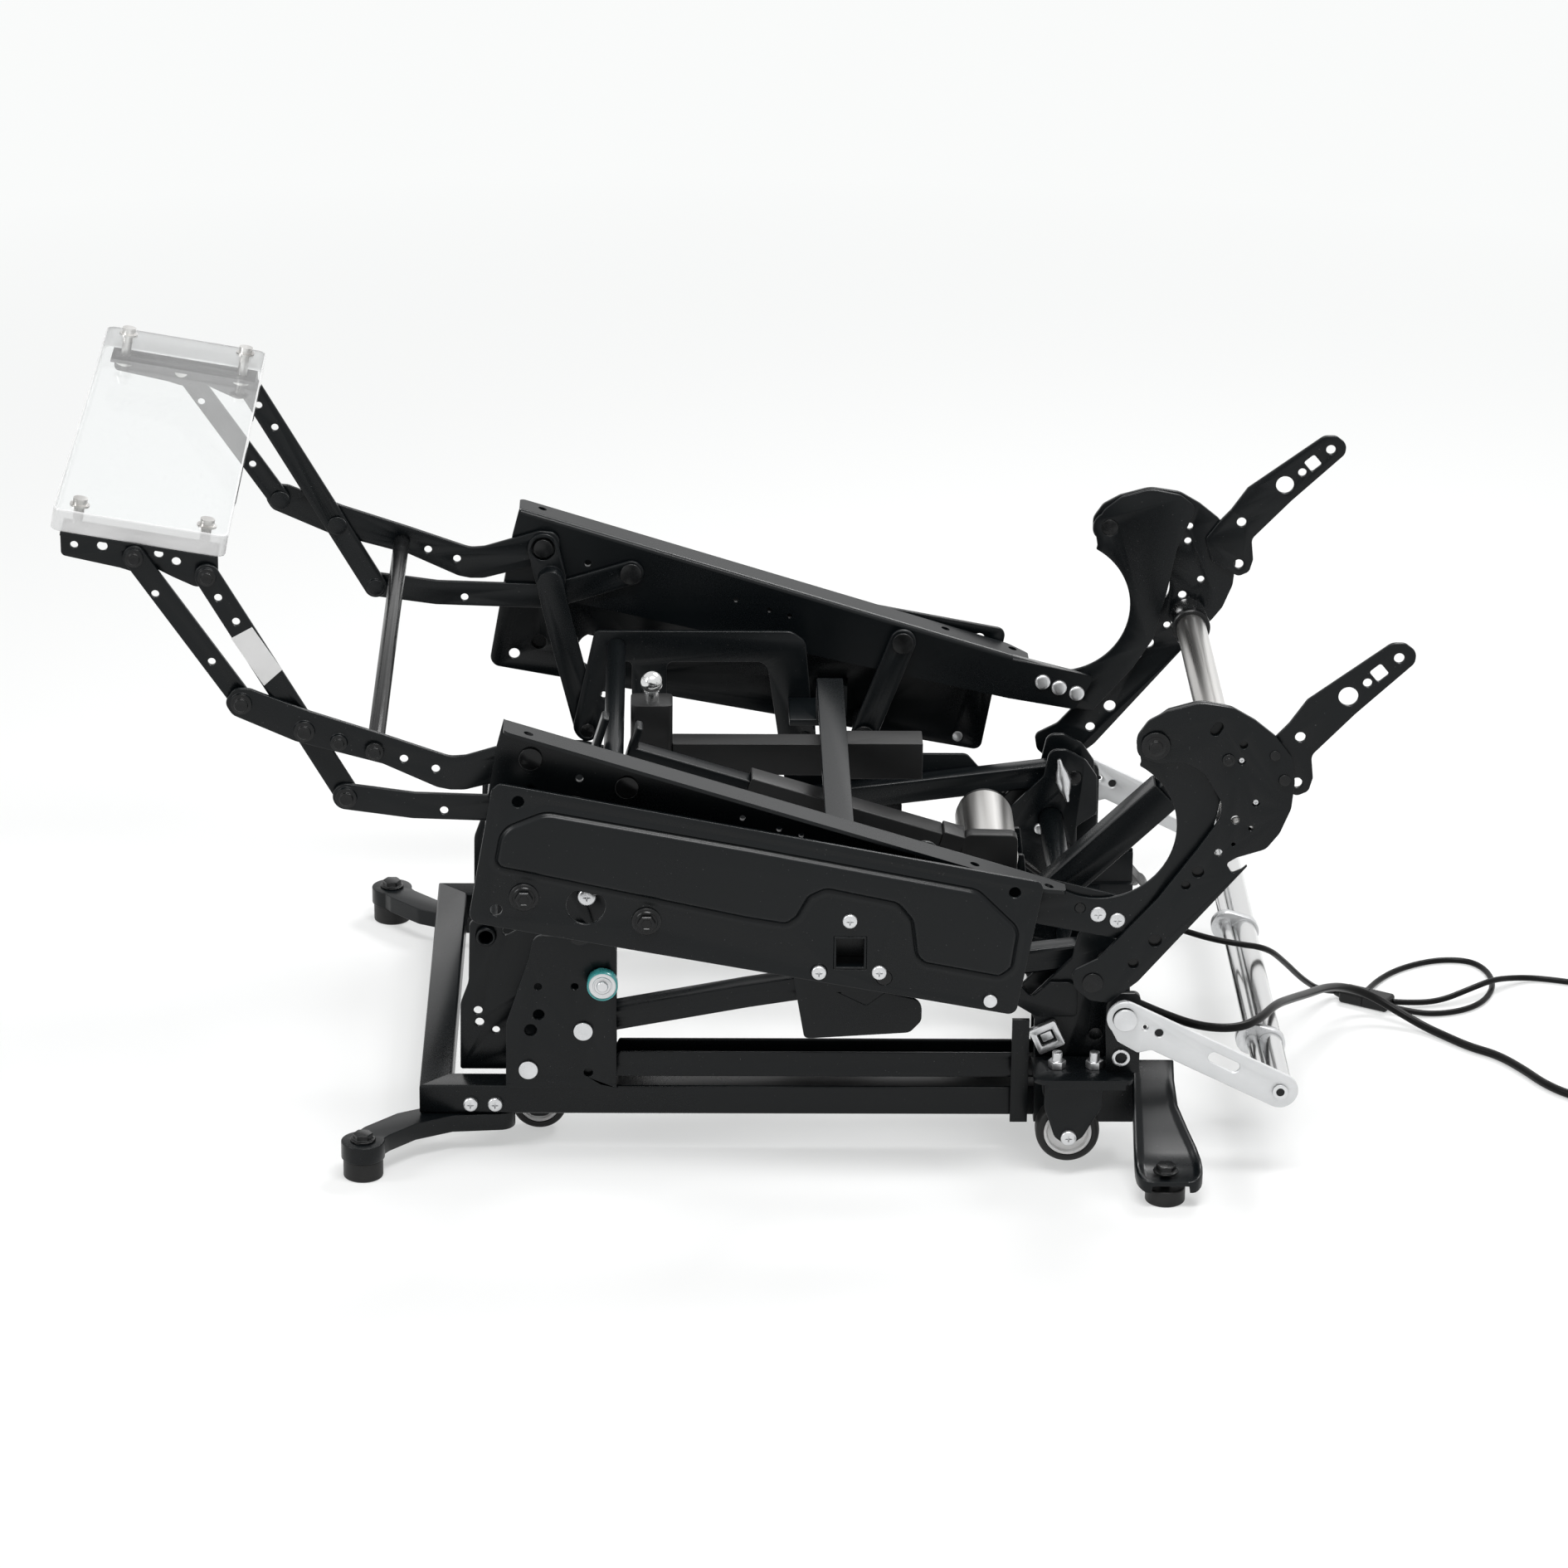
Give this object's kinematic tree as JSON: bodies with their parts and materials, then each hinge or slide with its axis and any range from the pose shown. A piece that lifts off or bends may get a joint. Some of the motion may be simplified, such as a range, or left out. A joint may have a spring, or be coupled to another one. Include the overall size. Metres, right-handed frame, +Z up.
{
  "type": "recliner lift mechanism",
  "caption": "Powered lift and recline frame for a chair: floor base with lift arms, seat rails, folding footrest linkage with a clear board, and backrest arms.",
  "frame": {"origin": "on the floor under the middle of the mechanism's box", "axes": "+X from the footrest to the backrest end, +Y to the far side, +Z up"},
  "size_m": [1.3318, 0.628, 0.5407],
  "materials": {
    "powder_coat": "satin black powder coat",
    "black_plastic": "fine matte",
    "polished_steel": "polished",
    "zinc_steel": "bright zinc",
    "brushed_tube": "brushed along",
    "clear_board": "polished clear plastic",
    "wheel_rubber": "smooth",
    "foot_rubber": "matte",
    "stop_ring": "satin",
    "cord_sheath": "satin"
  },
  "bodies": {
    "base": {"base_rails": "powder_coat", "front_brackets": "powder_coat", "front_gussets": "powder_coat", "base_fasteners": "zinc_steel", "side_stops": "stop_ring", "rear_uprights": "powder_coat", "foot_arms": "powder_coat", "foot_pads": "foot_rubber", "foot_screws": "powder_coat", "caster_forks": "powder_coat", "lift_motor": "brushed_tube", "lift_gearbox": "black_plastic", "motor_mount": "powder_coat", "upper_cord": "cord_sheath", "loop_cord": "cord_sheath", "tail_cord": "cord_sheath", "lower_cord": "cord_sheath", "tail_coil": "cord_sheath", "lower_coil": "cord_sheath", "inline_connector": "black_plastic", "cord_plugs": "black_plastic"},
    "lower_arms": {"lower_lift_arms": "powder_coat"},
    "upper_arms": {"upper_lift_arms": "powder_coat"},
    "slider": {"lift_slider": "powder_coat"},
    "carriage": {"side_panels": "powder_coat", "panel_fittings": "powder_coat", "carriage_frames": "powder_coat", "panel_bolts": "black_plastic", "panel_rivets": "zinc_steel", "carriage_pins": "powder_coat", "rear_brackets": "powder_coat", "carriage_crossbars": "powder_coat", "front_drive": "black_plastic", "front_drive_ball": "polished_steel"},
    "rear_links": {"rear_support_links": "powder_coat"},
    "front_links": {"front_support_links": "powder_coat"},
    "seat": {"seat_rails": "powder_coat", "seat_fasteners": "powder_coat", "hook_plates": "powder_coat"},
    "back": {"back_plates": "powder_coat", "tip_arms": "powder_coat", "back_tube": "brushed_tube", "back_fittings": "powder_coat"},
    "strut_outer": {"strut_tube": "powder_coat"},
    "strut_inner": {"strut_rod": "powder_coat"},
    "upper_links": {"rest_upper_links": "powder_coat", "rest_cross_rod": "powder_coat"},
    "lower_links": {"rest_lower_links": "powder_coat"},
    "front_stays": {"rest_front_stays": "powder_coat"},
    "rear_stays": {"rest_rear_stays": "powder_coat"},
    "footrest": {"footrest_board": "clear_board", "footrest_brackets": "powder_coat", "board_screws": "polished_steel"},
    "tilt_bar": {"tilt_arms": "zinc_steel", "tilt_tubes": "polished_steel", "tilt_fittings": "zinc_steel"},
    "rear_wheel_near": {"rear_caster_near": "wheel_rubber"},
    "rear_wheel_far": {"rear_caster_far": "wheel_rubber"},
    "front_wheel_near": {"front_caster_near": "wheel_rubber"},
    "front_wheel_far": {"front_caster_far": "wheel_rubber"}
  },
  "joints": [
    {"name": "lift", "type": "hinge", "parent": "base", "child": "lower_arms", "pos_m": [-0.1582, 0, 0.07], "axis": [0, -1, 0], "range_deg": [0, 30]},
    {"name": "carriage_level", "type": "hinge", "parent": "lower_arms", "child": "carriage", "pos_m": [0.2646, 0, 0.072], "axis": [0, -1, 0], "range_deg": [-3.96, 0]},
    {"name": "upper_arm_swing", "type": "hinge", "parent": "base", "child": "upper_arms", "pos_m": [-0.1154, 0, 0.103], "axis": [0, -1, 0], "range_deg": [0, 33.3]},
    {"name": "lift_slide", "type": "slide", "parent": "base", "child": "slider", "axis": [-0.9563, 0, 0.2924], "range_m": [0, 0.11143]},
    {"name": "recline", "type": "hinge", "parent": "carriage", "child": "rear_links", "pos_m": [0.1152, 0, 0.179], "axis": [0, -1, 0], "range_deg": [0, 40]},
    {"name": "seat_level", "type": "hinge", "parent": "rear_links", "child": "seat", "pos_m": [0.1466, 0, 0.262], "axis": [0, -1, 0], "range_deg": [-33.16, 0]},
    {"name": "front_link_swing", "type": "hinge", "parent": "carriage", "child": "front_links", "pos_m": [-0.1174, 0, 0.19], "axis": [0, -1, 0], "range_deg": [0, 27.63]},
    {"name": "back_recline", "type": "hinge", "parent": "seat", "child": "back", "pos_m": [0.3186, 0, 0.36], "axis": [0, -1, 0], "range_deg": [0, 36]},
    {"name": "strut_swing", "type": "hinge", "parent": "carriage", "child": "strut_outer", "pos_m": [0.2366, 0, 0.137], "axis": [0, -1, 0], "range_deg": [0, 20.44]},
    {"name": "strut_slide", "type": "slide", "parent": "strut_outer", "child": "strut_inner", "axis": [0.7166, 0, 0.6975], "range_m": [0, 0.05031]},
    {"name": "footrest_raise", "type": "hinge", "parent": "seat", "child": "upper_links", "pos_m": [-0.1544, 0, 0.344], "axis": [0, -1, 0], "range_deg": [0, 88]},
    {"name": "rear_stay_swing", "type": "hinge", "parent": "upper_links", "child": "rear_stays", "pos_m": [-0.3254, 0, 0.364], "axis": [0, -1, 0], "range_deg": [-90.45, 0]},
    {"name": "front_stay_swing", "type": "hinge", "parent": "upper_links", "child": "front_stays", "pos_m": [-0.3724, 0, 0.386], "axis": [0, -1, 0], "range_deg": [-92.99, 0]},
    {"name": "board_level", "type": "hinge", "parent": "rear_stays", "child": "footrest", "pos_m": [-0.3964, 0, 0.485], "axis": [0, -1, 0], "range_deg": [0, 80.79]},
    {"name": "lower_link_swing", "type": "hinge", "parent": "seat", "child": "lower_links", "pos_m": [-0.0814, 0, 0.321], "axis": [0, -1, 0], "range_deg": [0, 67.94]},
    {"name": "tilt", "type": "hinge", "parent": "base", "child": "tilt_bar", "pos_m": [0.302, 0, 0.137], "axis": [0, -1, 0], "range_deg": [-22, 0]},
    {"name": "rear_wheel_near_spin", "type": "hinge", "parent": "base", "child": "rear_wheel_near", "pos_m": [0.2616, -0.24, 0.034], "axis": [0, 1, 0], "continuous": true},
    {"name": "rear_wheel_far_spin", "type": "hinge", "parent": "base", "child": "rear_wheel_far", "pos_m": [0.2616, 0.24, 0.034], "axis": [0, 1, 0], "continuous": true},
    {"name": "front_wheel_near_spin", "type": "hinge", "parent": "base", "child": "front_wheel_near", "pos_m": [-0.1504, -0.165, 0.023], "axis": [0, 1, 0], "continuous": true},
    {"name": "front_wheel_far_spin", "type": "hinge", "parent": "base", "child": "front_wheel_far", "pos_m": [-0.1504, 0.165, 0.023], "axis": [0, 1, 0], "continuous": true}
  ],
  "couplings": [
    {"joint": "carriage_level", "follows": "lift", "ratio": -0.132},
    {"joint": "upper_arm_swing", "follows": "lift", "ratio": 1.11},
    {"joint": "lift_slide", "follows": "lift", "m_per_rad": 0.2128},
    {"joint": "seat_level", "follows": "recline", "ratio": -0.829},
    {"joint": "front_link_swing", "follows": "recline", "ratio": 0.6906},
    {"joint": "back_recline", "follows": "recline", "ratio": 0.9},
    {"joint": "strut_swing", "follows": "recline", "ratio": 0.511},
    {"joint": "strut_slide", "follows": "recline", "m_per_rad": 0.07205},
    {"joint": "rear_stay_swing", "follows": "footrest_raise", "ratio": -1.0278},
    {"joint": "front_stay_swing", "follows": "footrest_raise", "ratio": -1.0567},
    {"joint": "board_level", "follows": "footrest_raise", "ratio": 0.918},
    {"joint": "lower_link_swing", "follows": "footrest_raise", "ratio": 0.772}
  ]
}
